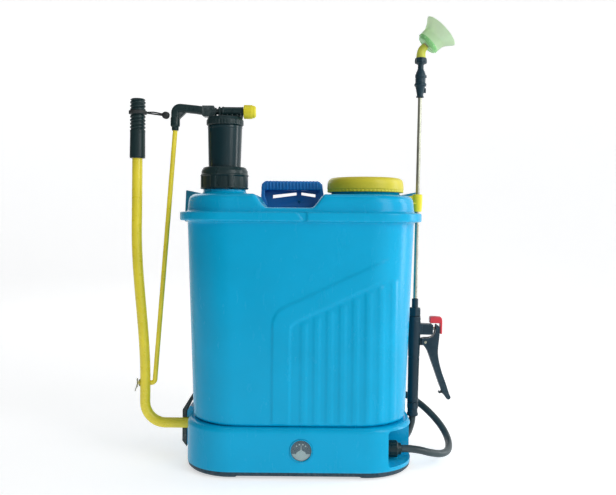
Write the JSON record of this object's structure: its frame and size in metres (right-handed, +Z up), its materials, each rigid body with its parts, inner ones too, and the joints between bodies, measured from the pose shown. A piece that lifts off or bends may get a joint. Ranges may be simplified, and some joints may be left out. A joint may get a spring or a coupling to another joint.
{
  "type": "backpack sprayer",
  "caption": "Knapsack sprayer: moulded tank on a battery base, side lever with sliding air-chamber pump, screw lid, trigger lance with bell shroud, hose and harness.",
  "frame": {"origin": "middle of the underside of the base, on the floor", "axes": "+Z up, +X towards the lance side, +Y towards the wearer's back (the harness side)"},
  "size_m": [0.5425, 0.3413, 0.7365],
  "materials": {
    "tank_blue": "blow-moulded, semi-gloss",
    "handle_blue": "moulded, satin",
    "black_plastic": "moulded, semi-gloss",
    "base_black": "moulded, matte",
    "yellow_plastic": "moulded, semi-gloss",
    "lid_yellow": "moulded, satin",
    "yellow_paint": "powder coat, glossy",
    "navy_plastic": "moulded, satin",
    "red_plastic": "moulded, glossy",
    "green_clear": "translucent, thin",
    "white_plastic": "natural, satin",
    "rubber": "matte",
    "hose_rubber": "extruded, semi-gloss",
    "fabric": "woven, padded",
    "webbing": "woven strap",
    "steel": "polished tube",
    "brass": "turned",
    "dial": "printed face without lettering",
    "clear": "clear cover"
  },
  "bodies": {
    "tank": {"tank_shell": "tank_blue", "base_skirt": "tank_blue", "base_tray": "base_black", "battery": "black_plastic", "electric_pump": "black_plastic", "delivery_pipe": "hose_rubber", "gauge_bezel": "handle_blue", "gauge_dial": "dial", "gauge_lens": "clear", "switch_panel": "black_plastic", "pump_cylinder": "white_plastic", "pump_valve": "rubber", "pump_ring_nut": "black_plastic", "lever_bracket": "black_plastic", "filler_strainer": "white_plastic", "wand_bottom_nut": "navy_plastic", "wand_grip": "navy_plastic", "wand_top_nut": "navy_plastic", "lance_tube": "steel", "head_socket": "black_plastic", "swivel_nut": "black_plastic", "trigger_pin": "steel", "lance_clip": "yellow_plastic", "back_pad": "fabric", "shoulder_pad_left": "fabric", "shoulder_pad_right": "fabric", "strap_buckle_left": "black_plastic", "strap_buckle_right": "black_plastic", "strap_web_left": "webbing", "strap_web_right": "webbing", "strap_top_bar": "black_plastic", "strap_lower_bar": "black_plastic", "hose_outlet_nut": "black_plastic", "hose_out": "hose_rubber", "hose_back": "hose_rubber", "hose_coil": "hose_rubber"},
    "chamber": {"air_chamber": "black_plastic", "chamber_cap": "black_plastic", "piston": "white_plastic", "piston_cup": "rubber"},
    "link": {"elbow_arm": "black_plastic", "arm_nut": "yellow_plastic", "link_rod": "yellow_paint"},
    "lever": {"lever_tube": "yellow_paint", "lever_grip": "black_plastic", "link_pin": "steel", "cotter_pin": "steel", "storage_strap": "rubber"},
    "needle": {"gauge_needle": "red_plastic"},
    "switch": {"power_switch": "red_plastic"},
    "charge_flap": {"charge_cap": "rubber"},
    "handle": {"carry_handle": "handle_blue"},
    "lid_lift": {"lid_gasket": "rubber"},
    "lid": {"filler_lid": "lid_yellow"},
    "trigger": {"trigger": "navy_plastic"},
    "valve": {"valve_stem": "steel", "valve_knob": "red_plastic"},
    "nozzle": {"nozzle_elbow": "yellow_plastic"},
    "shroud": {"spray_shroud": "green_clear", "nozzle_tip": "brass"}
  },
  "joints": [
    {"name": "lever_swing", "type": "hinge", "parent": "tank", "child": "lever", "pos_m": [-0.2, 0, 0.055], "axis": [-1, 0, 0], "range_deg": [0, 90]},
    {"name": "chamber_slide", "type": "slide", "parent": "tank", "child": "chamber", "axis": [0, 0, -1], "range_m": [0, 0.0698]},
    {"name": "link_swing", "type": "hinge", "parent": "chamber", "child": "link", "pos_m": [-0.126, 0, 0.5655], "axis": [1, 0, 0], "range_deg": [0, 8.4]},
    {"name": "needle_turn", "type": "hinge", "parent": "tank", "child": "needle", "pos_m": [0.004, -0.105, 0.0433], "axis": [0, 1, 0], "range_deg": [-50, 50], "stiffness_Nm_per_rad": 0.0005},
    {"name": "switch_rock", "type": "hinge", "parent": "tank", "child": "switch", "pos_m": [0.1789, 0.062, 0.042], "axis": [0, 0, 1], "range_deg": [-7, 7]},
    {"name": "charge_flap_hinge", "type": "hinge", "parent": "tank", "child": "charge_flap", "pos_m": [0.1816, 0.027, 0.042], "axis": [0, 0, -1], "range_deg": [0, 110]},
    {"name": "handle_fold", "type": "hinge", "parent": "tank", "child": "handle", "pos_m": [-0.015, 0.062, 0.418], "axis": [1, 0, 0], "range_deg": [0, 85]},
    {"name": "lid_lift", "type": "slide", "parent": "tank", "child": "lid_lift", "axis": [0, 0, 1], "range_m": [0, 0.05]},
    {"name": "lid_turn", "type": "hinge", "parent": "lid_lift", "child": "lid", "pos_m": [0.105, 0, 0.45], "axis": [0, 0, 1], "range_deg": [0, 300]},
    {"name": "trigger_squeeze", "type": "hinge", "parent": "tank", "child": "trigger", "pos_m": [0.21185, 0.045, 0.1837], "axis": [0, 1, 0], "range_deg": [0, 14], "stiffness_Nm_per_rad": 0.5, "springref_deg": -5.73},
    {"name": "valve_pull", "type": "slide", "parent": "tank", "child": "valve", "axis": [0.9999, 0, -0.0155], "range_m": [0, 0.0064]},
    {"name": "nozzle_swivel", "type": "hinge", "parent": "tank", "child": "nozzle", "pos_m": [0.20139, 0.045, 0.66992], "axis": [0.0155, 0, 0.9999], "continuous": true},
    {"name": "shroud_turn", "type": "hinge", "parent": "nozzle", "child": "shroud", "pos_m": [0.20966, 0.045, 0.68779], "axis": [0.718, 0, 0.6961], "range_deg": [0, 180]}
  ],
  "couplings": [
    {"joint": "chamber_slide", "follows": "lever_swing", "m_per_rad": 0.044417},
    {"joint": "link_swing", "follows": "lever_swing", "ratio": 0.09321},
    {"joint": "valve_pull", "follows": "trigger_squeeze", "m_per_rad": 0.0254}
  ]
}
